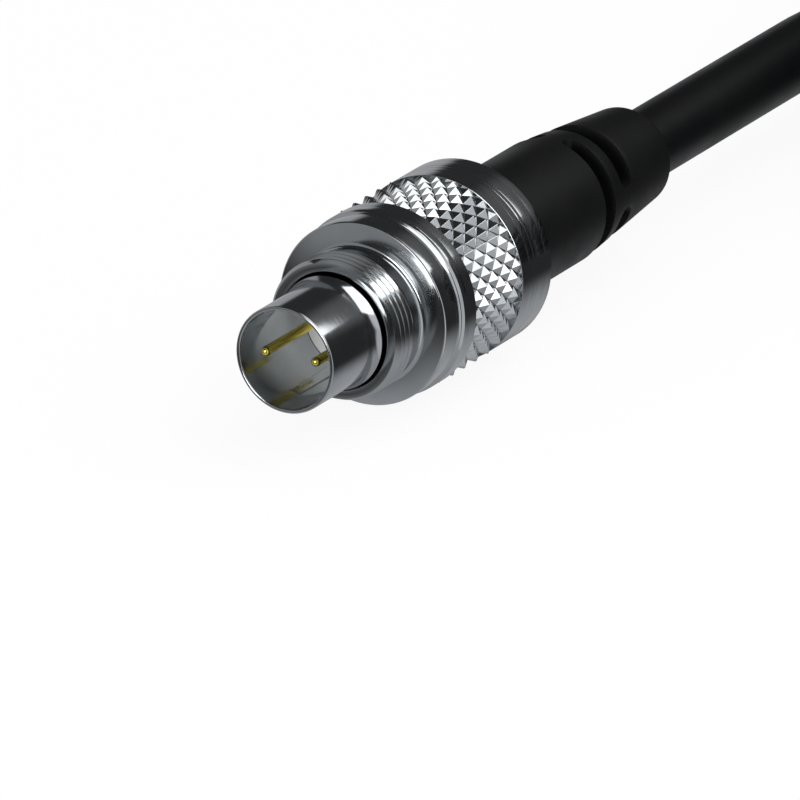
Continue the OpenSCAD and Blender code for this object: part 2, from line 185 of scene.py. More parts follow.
def turn_outline(name: str, outline: Outline, steps: int = 128, closed: bool = True,
                 start_deg: float = 0.0) -> Piece:
    """Turns an outline round the axis, as on a lathe.

    Args:
        name: Name of the new piece.
        outline: Radius and place of each point, in millimetres.
        steps: Facets round the axis.
        closed: Whether the last point is joined to the first.
        start_deg: Direction in which the first facet starts.

    Returns:
        The piece, in object mode, round the world's Y axis.
    """
    line = outline + [outline[0]] if closed else outline
    piece = draw_outline(name, line, start_deg)
    select_everything()
    bpy.ops.mesh.spin(steps=steps, angle=math.tau, center=(0, 0, 0), axis=(0, 1, 0))
    tidy_mesh()
    set_mode("OBJECT")
    return piece


def add_box(centre: Point, size: Point) -> Piece:
    """Adds a box.

    Args:
        centre: Its middle, in millimetres.
        size: Its size.

    Returns:
        The box.
    """
    deselect_all()
    bpy.ops.mesh.primitive_cube_add(size=1, location=tuple(part * MM for part in centre))
    box = bpy.context.object
    box.scale = tuple(part * MM for part in size)
    bpy.ops.object.transform_apply()
    return box


def set_on_axis(piece: Piece) -> None:
    """Moves a piece from the world's Y axis to the plug's own, and puts its place in its mesh.

    Args:
        piece: A piece built round the world's Y axis, with places back from the mouth.
    """
    make_active(piece)
    piece.location = (0, MOUTH_Y, AXIS_Z)
    bpy.ops.object.transform_apply()


def soften_edges(piece: Piece, width_mm: float, segments: int = 2, angle: float = 30) -> None:
    """Rounds a piece's sharp edges.

    Args:
        piece: The piece.
        width_mm: Width of the rounding.
        segments: Facets across the rounding.
        angle: Sharpest bend, in degrees, that is left as it is.
    """
    make_active(piece)
    bevel = piece.modifiers.new("rounding", "BEVEL")
    bevel.width = width_mm * MM
    bevel.segments = segments
    bevel.limit_method = "ANGLE"
    bevel.angle_limit = math.radians(angle)
    bpy.ops.object.modifier_apply(modifier=bevel.name)


def smooth(piece: Piece, angle: float = 30) -> None:
    """Shades a piece smooth, apart from its sharp edges.

    Args:
        piece: The piece.
        angle: Bends above this many degrees stay sharp.
    """
    make_active(piece)
    bpy.ops.object.shade_smooth_by_angle(angle=math.radians(angle))


def join(pieces: Sequence[Piece]) -> Piece:
    """Joins pieces into the first.

    Args:
        pieces: The pieces, the first of which keeps its name.

    Returns:
        The joined piece.
    """
    make_active(pieces[0])
    for piece in pieces[1:]:
        piece.select_set(True)
    bpy.ops.object.join()
    return pieces[0]


def cut(piece: Piece, cutter: Piece) -> None:
    """Cuts one piece with another, which is then removed.

    Args:
        piece: The work.
        cutter: A closed shape.
    """
    make_active(piece)
    boolean = piece.modifiers.new("cut", "BOOLEAN")
    boolean.operation = "DIFFERENCE"
    boolean.solver = "EXACT"
    boolean.object = cutter
    bpy.ops.object.modifier_apply(modifier=boolean.name)
    bpy.data.objects.remove(cutter, do_unlink=True)


def arc(r: float, a: float, radius: float, start: float, end: float, count: int = 6) -> Outline:
    """Gives the points of an arc in an outline.

    Args:
        r: Radius at which its centre lies.
        a: Place of its centre.
        radius: Its own radius.
        start: First angle, in degrees from the radial direction.
        end: Last angle.
        count: Facets along it.

    Returns:
        The outline's points.
    """
    turns = [math.radians(start + (end - start) * k / count) for k in range(count + 1)]
    return [(r + radius * math.cos(t), a + radius * math.sin(t)) for t in turns]


# ---------------------------------------------------------------- finishes


def linear(r: float, g: float, b: float) -> tuple[float, float, float, float]:
    """Gives an opaque colour from linear values."""
    return (r, g, b, 1.0)


class Nodes:
    """Short ways to build a node tree."""

    def __init__(self, tree: bpy.types.NodeTree) -> None:
        """Keeps the tree.

        Args:
            tree: The tree to build in.
        """
        self.tree = tree

    def add(self, kind: str, **settings: object) -> bpy.types.Node:
        """Adds a node.

        Args:
            kind: The node's type.
            **settings: Attributes to set on it.

        Returns:
            The node.
        """
        node = self.tree.nodes.new(kind)
        for name, value in settings.items():
            setattr(node, name, value)
        return node

    def link(self, start: Socket, end: Socket) -> None:
        """Links an output to an input."""
        self.tree.links.new(start, end)

    def feed(self, socket: Socket, value: object) -> None:
        """Sets an input to a number or a colour, or links an output to it."""
        if isinstance(value, Socket):
            self.link(value, socket)
        else:
            socket.default_value = value

    def fill(self, node: bpy.types.Node, values: dict[str | int, object]) -> None:
        """Feeds a node's inputs, each picked by its name or number."""
        for name, value in values.items():
            self.feed(node.inputs[name], value)

    def mix(self, factor: Socket, first: object, second: object) -> Socket:
        """Mixes two colours.

        Args:
            factor: Share of the second.
            first: A colour or an output socket.
            second: The same.

        Returns:
            The mixed colour.
        """
        node = self.add("ShaderNodeMix", data_type="RGBA")
        self.fill(node, {"Factor": factor, 6: first, 7: second})
        return node.outputs[2]

    def math(self, operation: str, *values: object) -> Socket:
        """Adds a Math node.

        Args:
            operation: Its operation.
            *values: A number or an output socket for each input.

        Returns:
            Its output.
        """
        node = self.add("ShaderNodeMath", operation=operation)
        for socket, value in zip(node.inputs, values):
            self.feed(socket, value)
        return node.outputs[0]

    def remap(self, value: Socket, low: float, high: float, to_low: float, to_high: float,
              soft: bool = False) -> Socket:
        """Adds a Map Range node.

        Args:
            value: What is mapped.
            low: Start of its range.
            high: End of its range.
            to_low: Result at the start.
            to_high: Result at the end.
            soft: Whether it eases in and out.

        Returns:
            Its output.
        """
        node = self.add("ShaderNodeMapRange", interpolation_type="SMOOTHSTEP" if soft else "LINEAR")
        self.fill(node, {"Value": value, "From Min": low, "From Max": high, "To Min": to_low,
                         "To Max": to_high})
        return node.outputs["Result"]

    def noise(self, vector: Socket, scale: float | Socket, detail: float,
              rough: float = 0.5) -> Socket:
        """Adds a Noise Texture node.

        Args:
            vector: Where it is read.
            scale: Its scale.
            detail: Its detail.
            rough: Its roughness.

        Returns:
            Its value.
        """
        node = self.add("ShaderNodeTexNoise")
        self.fill(node, {"Vector": vector, "Scale": scale, "Detail": detail, "Roughness": rough})
        return node.outputs["Fac"]


def start_group(grain: Grain, inputs: dict[str, float], outputs: Sequence[str]) -> Nodes:
    """Starts a grain's shader node group with its named sockets.

    Args:
        grain: The grain that it makes.
        inputs: Names and default values of its inputs.
        outputs: Names of its outputs.

    Returns:
        Its nodes.
    """
    tree = bpy.data.node_groups.new(grain.value, "ShaderNodeTree")
    for name, value in inputs.items():
        socket = tree.interface.new_socket(name=name, in_out="INPUT", socket_type="NodeSocketFloat")
        socket.default_value = value
    for name in outputs:
        tree.interface.new_socket(name=name, in_out="OUTPUT", socket_type="NodeSocketFloat")
    return Nodes(tree)


def rough_at(n: Nodes, given: bpy.types.Node, share: Socket) -> Socket:
    """Gives the roughness at a share of the way between a group's two limits."""
    low, high = given.outputs["Rough Low"], given.outputs["Rough High"]
    return n.math("ADD", low, n.math("MULTIPLY", share, n.math("SUBTRACT", high, low)))


def turned_grain() -> bpy.types.NodeTree:
    """Builds the group of fine lathe lines and handling marks that turned metal shows.

    Returns:
        The group.
    """
    n = start_group(Grain.TURNED, {"Lines": 9000.0, "Smear": 260.0, "Rough Low": 0.08, "Rough High": 0.2},
                    ("Roughness", "Height", "Tarnish"))
    given = n.add("NodeGroupInput")
    out = n.add("NodeGroupOutput")
    place = n.add("ShaderNodeTexCoord").outputs["Object"]
    axes = n.add("ShaderNodeSeparateXYZ")
    n.link(place, axes.inputs[0])
    from_axis = n.math("SUBTRACT", axes.outputs["Z"], AXIS_Z)
    radius = n.math("SQRT", n.math("ADD", n.math("MULTIPLY", axes.outputs["X"], axes.outputs["X"]),
                                   n.math("MULTIPLY", from_axis, from_axis)))
    ringed = n.add("ShaderNodeCombineXYZ")
    n.link(n.math("MULTIPLY", radius, given.outputs["Lines"]), ringed.inputs["X"])
    n.link(n.math("MULTIPLY", axes.outputs["Y"], given.outputs["Lines"]), ringed.inputs["Y"])
    lines = n.noise(ringed.outputs[0], 1.0, 3.0, 0.6)
    smear = n.noise(place, given.outputs["Smear"], 4.0)
    wear = n.math("ADD", n.math("MULTIPLY", lines, 0.45), n.math("MULTIPLY", smear, 0.55))
    spread = n.remap(wear, 0.35, 0.65, 0.0, 1.0, soft=True)
    n.link(rough_at(n, given, spread), out.inputs["Roughness"])
    n.link(lines, out.inputs["Height"])
    n.link(n.remap(smear, 0.35, 0.7, 0.0, 1.0, soft=True), out.inputs["Tarnish"])
    return n.tree


def moulded_grain() -> bpy.types.NodeTree:
    """Builds the group of fine pitting and cloudy sheen that moulded and extruded plastic shows.

    Returns:
        The group.
    """
    n = start_group(Grain.MOULDED, {"Pits": 9000.0, "Cloud": 300.0, "Rough Low": 0.4, "Rough High": 0.55},
                    ("Roughness", "Height", "Shade"))
    given = n.add("NodeGroupInput")
    out = n.add("NodeGroupOutput")
    place = n.add("ShaderNodeTexCoord").outputs["Object"]
    pits = n.noise(place, given.outputs["Pits"], 2.0)
    cloud = n.noise(place, given.outputs["Cloud"], 4.0)
    mixed = n.remap(n.math("ADD", n.math("MULTIPLY", pits, 0.4), n.math("MULTIPLY", cloud, 0.6)),
                    0.38, 0.62, 0.0, 1.0, soft=True)
    n.link(rough_at(n, given, mixed), out.inputs["Roughness"])
    n.link(pits, out.inputs["Height"])
    n.link(n.remap(cloud, 0.35, 0.65, 0.0, 1.0, soft=True), out.inputs["Shade"])
    return n.tree


def grain_tree(grain: Grain) -> bpy.types.NodeTree:
    """Gives a grain's node group, which is built once."""
    found = bpy.data.node_groups.get(grain.value)
    if found is not None:
        return found
    return turned_grain() if grain is Grain.TURNED else moulded_grain()


@dataclass(frozen=True)
class Finish:
    """One finish: a colour that varies between two shades, over a fine grain."""

    name: str
    light: tuple[float, float, float]
    dark: tuple[float, float, float]
    grain: Grain
    rough: tuple[float, float]
    metallic: float = 0.0
    fine: float = 9000.0
    broad: float = 260.0
    bump_mm: float = 0.002
    bump_strength: float = 0.3
    specular: float = 0.5
    subsurface: float = 0.0
    scatter_mm: float = 0.4

    def material(self) -> bpy.types.Material:
        """Builds the material, once.

        Returns:
            The material.
        """
        found = bpy.data.materials.get(self.name)
        if found is not None:
            return found
        material = bpy.data.materials.new(self.name)
        material.use_nodes = True
        n = Nodes(material.node_tree)
        shader = material.node_tree.nodes["Principled BSDF"]
        turned = self.grain is Grain.TURNED
        group = n.add("ShaderNodeGroup", node_tree=grain_tree(self.grain))
        n.fill(group, {"Lines" if turned else "Pits": self.fine, "Smear" if turned else "Cloud": self.broad,
                       "Rough Low": self.rough[0], "Rough High": self.rough[1]})
        patches = group.outputs["Tarnish" if turned else "Shade"]
        shade = n.mix(patches, linear(*self.light), linear(*self.dark))
        bump = n.add("ShaderNodeBump")
        n.fill(bump, {"Strength": self.bump_strength, "Distance": self.bump_mm * MM,
                      "Height": group.outputs["Height"]})
        n.fill(shader, {"Base Color": shade, "Roughness": group.outputs["Roughness"],
                        "Normal": bump.outputs["Normal"], "Metallic": self.metallic,
                        "Specular IOR Level": self.specular, "Subsurface Weight": self.subsurface})
        if self.subsurface:
            shader.inputs["Subsurface Scale"].default_value = self.scatter_mm * MM
        return material

    def dress(self, piece: Piece) -> None:
        """Gives a piece this finish alone.

        Args:
            piece: A new piece or a CAD node's object.
        """
        piece.data.materials.clear()
        piece.data.materials.append(self.material())


RING_NICKEL = Finish("ring nickel", (0.47, 0.49, 0.5), (0.41, 0.43, 0.445), Grain.TURNED, (0.1, 0.17), 1.0,
                     fine=14000.0, bump_mm=0.0008, bump_strength=0.25)
TUBE_NICKEL = Finish("tube nickel", (0.46, 0.48, 0.495), (0.4, 0.42, 0.44), Grain.TURNED, (0.1, 0.18), 1.0,
                     fine=12000.0, bump_mm=0.0008, bump_strength=0.2)
SHELL_NICKEL = Finish("shell nickel", (0.6, 0.61, 0.62), (0.52, 0.53, 0.55), Grain.TURNED, (0.16, 0.28), 1.0)
SPRING_STEEL = Finish("spring steel", (0.58, 0.58, 0.6), (0.48, 0.48, 0.5), Grain.TURNED, (0.22, 0.34), 1.0)
FERRULE_STEEL = Finish("ferrule nickel", (0.62, 0.62, 0.62), (0.54, 0.54, 0.55), Grain.TURNED, (0.2, 0.34),
                       1.0)
BRAID_TIN = Finish("tinned braid", (0.6, 0.58, 0.55), (0.36, 0.34, 0.32), Grain.MOULDED, (0.3, 0.5), 1.0,
                   fine=5000.0, bump_mm=0.05, bump_strength=0.8)
CONTACT_GOLD = Finish("contact gold", (0.82, 0.68, 0.14), (0.72, 0.58, 0.1), Grain.TURNED, (0.12, 0.2), 1.0,
                      fine=14000.0, bump_mm=0.0006, bump_strength=0.2)
INSERT_RESIN = Finish("insert resin", (0.72, 0.73, 0.72), (0.64, 0.65, 0.64), Grain.MOULDED, (0.35, 0.5),
                      subsurface=0.1)
RETAINER_RESIN = Finish("retainer resin", (0.05, 0.05, 0.055), (0.03, 0.03, 0.035), Grain.MOULDED, (0.4,
                        0.55))
MOULD_RESIN = Finish("inner mould resin", (0.74, 0.72, 0.63), (0.66, 0.63, 0.54), Grain.MOULDED, (0.4, 0.55),
                     subsurface=0.1)
SEAL_RUBBER = Finish("seal rubber", (0.02, 0.02, 0.02), (0.012, 0.012, 0.012), Grain.MOULDED, (0.35, 0.5))
RELIEF_RUBBER = Finish("relief rubber", (0.0036, 0.0039, 0.0042), (0.0026, 0.0028, 0.003), Grain.MOULDED,
                       (0.42, 0.54), fine=11000.0, broad=420.0, bump_mm=0.0035, bump_strength=0.35,
                       specular=0.22)
JACKET = Finish("lead jacket", (0.0032, 0.0035, 0.0039), (0.0023, 0.0025, 0.0028), Grain.MOULDED, (0.36,
                0.46),
                fine=8000.0, broad=300.0, bump_mm=0.002, bump_strength=0.25, specular=0.22)
BROWN_CORE = Finish("brown insulation", (0.12, 0.045, 0.018), (0.09, 0.034, 0.013), Grain.MOULDED, (0.3,
                    0.42))
WHITE_CORE = Finish("white insulation", (0.74, 0.74, 0.71), (0.66, 0.66, 0.63), Grain.MOULDED, (0.3, 0.42))
TINNED_COPPER = Finish("tinned strand", (0.72, 0.58, 0.47), (0.6, 0.46, 0.36), Grain.MOULDED, (0.25, 0.4),
                       1.0,
                       fine=6000.0, bump_mm=0.03, bump_strength=0.6)
TIE_NYLON = Finish("tie nylon", (0.016, 0.016, 0.017), (0.011, 0.011, 0.012), Grain.MOULDED, (0.35, 0.5))

CAD_FINISHES: dict[str, Finish] = {
    "ring_seal": SEAL_RUBBER,
    "body_shell": SHELL_NICKEL,
    "retaining_ring": SPRING_STEEL,
    "contact_insert": INSERT_RESIN,
    "contact_retainer": RETAINER_RESIN,
    "inner_mould": MOULD_RESIN,
    "crimp_ferrule": FERRULE_STEEL,
    "screen_braid": BRAID_TIN,
    "cable_jacket": JACKET,
    "core_left": BROWN_CORE,
    "core_right": WHITE_CORE,
    "conductor_left": TINNED_COPPER,
    "conductor_right": TINNED_COPPER,
}


def declare(piece: Piece, finish: Finish, body: Body, slot: Slot, *nodes: str) -> None:
    """Dresses a piece, hangs it on its body and hides the CAD nodes that it replaces.

    Args:
        piece: The piece.
        finish: Its finish.
        body: The body that it rides on.
        slot: Its material slot; not used.
        *nodes: The CAD nodes that it replaces.
    """
    finish.dress(piece)
    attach(piece, body.value)
    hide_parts(*nodes)


# ---------------------------------------------------------------- camera and lead


@dataclass
class ViewPoint:
    """Where the camera stands, from the middle of the tube's mouth."""

    lens_mm: float = 540.0
    sensor_mm: float = 36.0
    azimuth_deg: float = 30.31
    elevation_deg: float = 21.0
    distance_mm: float = 716.27
    aim_right_mm: float = 6.91
    aim_up_mm: float = -2.36

    def build(self) -> Piece:
        """Makes the camera and sets it as the scene's.

        Returns:
            The camera.
        """
        turn, tilt = math.radians(self.azimuth_deg), math.radians(self.elevation_deg)
        back = Vector((math.sin(turn) * math.cos(tilt), -math.cos(turn) * math.cos(tilt), math.sin(tilt)))
        right = Vector((math.cos(turn), math.sin(turn), 0))
        up = back.cross(right)
        mouth = Vector((0, MOUTH_Y, AXIS_Z))
        place = mouth + (right * self.aim_right_mm + up * self.aim_up_mm + back * self.distance_mm) * MM
        lens = bpy.data.cameras.new("camera")
        lens.lens = self.lens_mm
        lens.sensor_width = self.sensor_mm
        lens.clip_start = 0.01
        lens.clip_end = 20.0
        camera = bpy.data.objects.new("camera", lens)
        bpy.context.scene.collection.objects.link(camera)
        facing = Matrix((right, up, back)).transposed()
        camera.matrix_world = Matrix.Translation(place) @ facing.to_4x4()
        bpy.context.scene.camera = camera
        return camera


def ease(share: float) -> float:
    """Eases a share of a step in and out."""
    t = min(max(share, 0.0), 1.0)
    return t * t * (3 - 2 * t)


@dataclass
class Lead:
    """The lead: out of the relief, down to the table, round its coil and out at its bared end."""

    radius: float = 2.3
    core_radius: float = 0.7
    core_spacing: float = 1.5
    wire_radius: float = 0.3
    coil_x: float = 29.6
    coil_y: float = 72.0
    coil_mid: float = 25.0
    pitch: float = 4.6
    exit_y: float = 20.9
    jacket_end_deg: float = 4010.0
    cores_end_deg: float = 4050.0
    wires_end_deg: float = 4061.0
    stride_deg: float = 10.0
    descent: list[Point] = field(default_factory=lambda: [
        (0, 20.9, 6.05), (0, 24, 6.05), (0, 28, 6.05), (0, 32, 6.05), (0, 36, 6.05), (0, 40, 6.05),
        (0, 43, 6.05), (0, 44, 6.04), (0, 46, 5.95), (0, 48, 5.69), (0, 50, 5.28), (0, 52, 4.75),
        (0, 54, 4.18), (0, 56, 3.6), (0, 58, 3.07), (0, 60, 2.66), (0, 62, 2.39), (0, 64, 2.305),
        (0, 67, 2.3), (0, 70, 2.3)])
    inward: list[tuple[float, float]] = field(default_factory=lambda: [
        (260, -1), (620, -1), (1220, 1), (1580, 1), (2180, -1), (2540, -1), (3140, 1), (3500, 1), (3860, -1)])
    upward: list[float] = field(default_factory=lambda: [920, 1880, 2840, 3800])
    step_deg: float = 60.0

    def coil_point(self, wind: float, aside: float = 0.0, lower: float = 0.0) -> Vector:
        """Gives a point of the coil.

        Args:
            wind: Angle wound since the lead reached the coil, in degrees.
            aside: How far outside the lead's own line the point lies, in millimetres.
            lower: How far below it the point lies.

        Returns:
            The point, in metres.
        """
        radius = self.coil_mid + self.pitch
        height = self.radius
        for start, way in self.inward:
            radius += way * self.pitch * ease((wind - start) / self.step_deg)
        for start in self.upward:
            height += self.pitch * ease((wind - start) / self.step_deg)
        angle = math.radians(180 - wind)
        r = radius + aside
        x, y = self.coil_x + r * math.cos(angle), self.coil_y + r * math.sin(angle)
        return Vector((x, y, height - lower)) * MM

    def line(self) -> list[Vector]:
        """Gives the lead's centre line up to the end of its jacket.

        Returns:
            Its points, in metres.
        """
        points = [Vector(p) * MM for p in self.descent]
        wind = 0.0
        while wind < self.jacket_end_deg:
            points.append(self.coil_point(wind))
            wind += self.stride_deg
        points.append(self.coil_point(self.jacket_end_deg))
        return points

    def along_top(self, start: float, end: float, aside: float, lower: float) -> list[Vector]:
        """Gives a line that lies along the top of the coil, past the jacket's end.

        Args:
            start: First winding angle.
            end: Last winding angle.
            aside: Distance outside the lead's line.
            lower: Distance below it.

        Returns:
            Its points, in metres.
        """
        count = max(4, round((end - start) / 4))
        return [self.coil_point(start + (end - start) * k / count, aside, lower) for k in range(count + 1)]

    def tube(self, name: str, points: Sequence[Vector], radius: float, sides: int = 8) -> Piece:
        """Makes one smooth round curve.

        Args:
            name: Its name.
            points: Its centre line.
            radius: Its radius, in millimetres.
            sides: Half the facets of its section, near enough.

        Returns:
            The curve object.
        """
        curve = bpy.data.curves.new(name, "CURVE")
        curve.dimensions = "3D"
        curve.bevel_depth = radius * MM
        curve.bevel_resolution = sides
        curve.use_fill_caps = True
        spline = curve.splines.new("POLY")
        spline.points.add(len(points) - 1)
        for node, place in zip(spline.points, points):
            node.co = (*place, 1.0)
        spline.use_smooth = True
        piece = bpy.data.objects.new(name, curve)
        bpy.context.scene.collection.objects.link(piece)
        return piece

    def build(self) -> Piece:
        """Returns:
            The lead.
        """
        points = self.line()
        lead = self.tube("lead", points, self.radius, 10)
        extras = []
        for side, core_name, finish, slot, nodes in (
            (-1, "core_end_brown", BROWN_CORE, Slot.BROWN, ("tail_core_inner", "tail_conductor_inner")),
            (1, "core_end_white", WHITE_CORE, Slot.WHITE, ("tail_core_outer", "tail_conductor_outer")),
        ):
            aside = side * self.core_spacing / 2
            drop = self.radius - self.core_radius
            start, end = self.jacket_end_deg - 1, self.cores_end_deg
            core = self.tube(core_name, self.along_top(start, end, aside, drop), self.core_radius, 5)
            wire = self.tube(core_name + "_strands", self.along_top(end - 1, self.wires_end_deg, aside, drop),
                             self.wire_radius, 4)
            declare(core, finish, Body.PLUG, slot, nodes[0])
            declare(wire, TINNED_COPPER, Body.PLUG, Slot.COPPER, nodes[1])
            extras += [core, wire]
        extras.append(CoilTie(self).build())
        declare(lead, JACKET, Body.PLUG, Slot.JACKET, "cable_lead", "cable_coil", "cable_tail")
        return lead


@dataclass
class CoilTie:
    """The flat toothed tie that holds the coil, with its square head on top."""

    lead: Lead
    turn_deg: float = 60.0
    width: float = 3.0
    thickness: float = 0.7
    gap: float = 0.1
    columns: int = 3
    layers: int = 4
    corner: float = 1.6
    edge: float = 0.12
    head: tuple[float, float, float] = (5.0, 4.4, 2.1)
    head_rim: float = 0.7
    head_pocket: float = 0.8
    head_edge: float = 0.2

    def build(self) -> Piece:
        """Makes the tie.

        Returns:
            The piece.
        """
        half = self.columns * self.lead.radius + self.gap + self.thickness
        top = self.layers * 2 * self.lead.radius + self.gap + self.thickness
        deselect_all()
        bpy.ops.mesh.primitive_plane_add(size=1, location=(0, 0, 0), rotation=(math.pi / 2, 0, 0))
        tie = bpy.context.object
        tie.name = tie.data.name = "tie_band"
        bpy.ops.object.transform_apply()
        set_mode("EDIT")
        select_everything()
        bpy.ops.transform.resize(value=(2 * half * MM, 1, top * MM))
        bpy.ops.transform.translate(value=(0, -self.width / 2 * MM, top / 2 * MM))
        bpy.ops.mesh.bevel(offset=self.corner * MM, segments=5, affect="VERTICES", offset_type="OFFSET")
        bpy.ops.mesh.delete(type="ONLY_FACE")
        select_everything()
        extrude(0, self.width, 0)
        tidy_mesh()
        set_mode("OBJECT")
        wall = tie.modifiers.new("wall", "SOLIDIFY")
        wall.thickness = self.thickness * MM
        wall.offset = -1
        bpy.ops.object.modifier_apply(modifier=wall.name)
        soften_edges(tie, self.edge)
        middle = top + self.head[2] / 2
        head = add_box((0, 0, middle), self.head)
        set_mode("EDIT")
        select_where(head, lambda p: p.z > middle * MM)
        bpy.ops.mesh.inset(thickness=self.head_rim * MM)
        extrude(0, 0, -self.head_pocket)
        set_mode("OBJECT")
        soften_edges(head, self.head_edge)
        tie = join([tie, head])
        tie.rotation_euler = (0, 0, math.radians(self.turn_deg))
        a = math.radians(self.turn_deg)
        tie.location = ((self.lead.coil_x + self.lead.coil_mid * math.cos(a)) * MM,
                        (self.lead.coil_y + self.lead.coil_mid * math.sin(a)) * MM, 0)
        make_active(tie)
        bpy.ops.object.transform_apply()
        smooth(tie)
        declare(tie, TIE_NYLON, Body.PLUG, Slot.TIE, "coil_tie")
        return tie


# ---------------------------------------------------------------- the plug


@dataclass
class ShieldTube:
    """The thin tube that plugs in, with its rounded rim, its flared root and the polarising rib inside."""

    outer: float = 3.375
    inner: float = 3.125
    rear_outer: float = 3.315
    end: float = 15.0
    flare_start: float = 4.4
    flare_end: float = 5.38
    flare: float = 3.6
    flare_power: float = 2.4
    flare_steps: int = 20
    flare_land: float = 0.03
    land_lip: float = 0.04
    lip_length: float = 0.02
    land_end: float = 5.7
    taper: float = 0.7
    rim: float = 0.1
    rib_width: float = 0.7
    rib_height: float = 0.2
    rib_angle: float = -104.0
    rib_start: float = 2.4
    rib_end: float = 7.57
    rib_root: float = 0.12
    rib_ramp: float = 0.1
    rib_drop: float = 0.75
    rib_rounding: float = 0.08

    def build(self) -> Piece:
        """Makes the tube and its rib as one piece.

        Returns:
            The piece.
        """
        outline = arc(self.inner + self.rim, self.rim, self.rim, 180, 270, 5)
        outline += arc(self.outer - self.rim, self.rim, self.rim, 270, 360, 5)
        length, rise = self.flare_end - self.flare_start, self.flare - self.outer
        steps = self.flare_steps
        outline += [(self.outer + rise * (k / steps) ** self.flare_power,
                     self.flare_start + length * k / steps) for k in range(steps + 1)]
        outline += [(self.flare, self.flare_end + self.flare_land),
                    (self.outer + self.land_lip, self.land_end - self.lip_length),
                    (self.outer, self.land_end), (self.rear_outer, self.land_end + self.taper),
                    (self.rear_outer, self.end), (self.inner, self.end)]
        tube = turn_outline("shield_tube_turned", outline, 160)
        rib = self.rib()
        tube = join([tube, rib])
        set_on_axis(tube)
        smooth(tube, 25)
        declare(tube, TUBE_NICKEL, Body.PLUG, Slot.SHIELD, "shield_tube")
        return tube

    def rib(self) -> Piece:
        """Makes the rib, rooted in the tube's wall.

        Returns:
            The rib, round the world's Y axis.
        """
        root = self.inner + self.rib_root
        crest = self.inner - self.rib_height
        rib = add_box(((root + crest) / 2, (self.rib_start + self.rib_end) / 2, 0),
                      (root - crest, self.rib_end - self.rib_start, self.rib_width))
        set_mode("EDIT")
        select_where(rib, lambda p: p.y < (self.rib_start + self.rib_ramp) * MM and p.x < self.inner * MM)
        bpy.ops.transform.translate(value=(self.rib_drop * self.rib_height * MM, 0, 0))
        set_mode("OBJECT")
        soften_edges(rib, self.rib_rounding, 4)
        rib.rotation_euler = (0, -math.radians(self.rib_angle), 0)
        make_active(rib)
        bpy.ops.object.transform_apply()
        return rib


@dataclass
class Contacts:
    """The two turned and gold-plated pins."""

    radius: float = 0.3
    spacing: float = 3.5
    tip: float = 0.5
    shoulder: float = 0.6
    shoulder_start: float = 12.5
    shoulder_end: float = 13.5
    cup: float = 0.5
    cup_end: float = 17.5
    cup_floor: float = 15.5
    cup_bore: float = 0.33

    def build(self) -> list[Piece]:
        """Makes both pins.

        Returns:
            The pins.
        """
        pins = []
        for side, node in ((-1, "contact_pin_left"), (1, "contact_pin_right")):
            nose = arc(0, self.tip + self.radius, self.radius, 270, 360, 8)
            outline = nose + [
                (self.radius, self.shoulder_start), (self.shoulder, self.shoulder_start),
                (self.shoulder, self.shoulder_end), (self.cup, self.shoulder_end), (self.cup, self.cup_end),
                (self.cup_bore, self.cup_end), (self.cup_bore, self.cup_floor), (0, self.cup_floor)]
            pin = turn_outline(f"{node}_turned", outline, 48, closed=False)
            soften_edges(pin, 0.03, 2, 40)
            set_on_axis(pin)
            pin.location = (side * self.spacing / 2 * MM, 0, 0)
            make_active(pin)
            bpy.ops.object.transform_apply()
            smooth(pin, 35)
            declare(pin, CONTACT_GOLD, Body.PLUG, Slot.GOLD, node)
            pins.append(pin)
        return pins


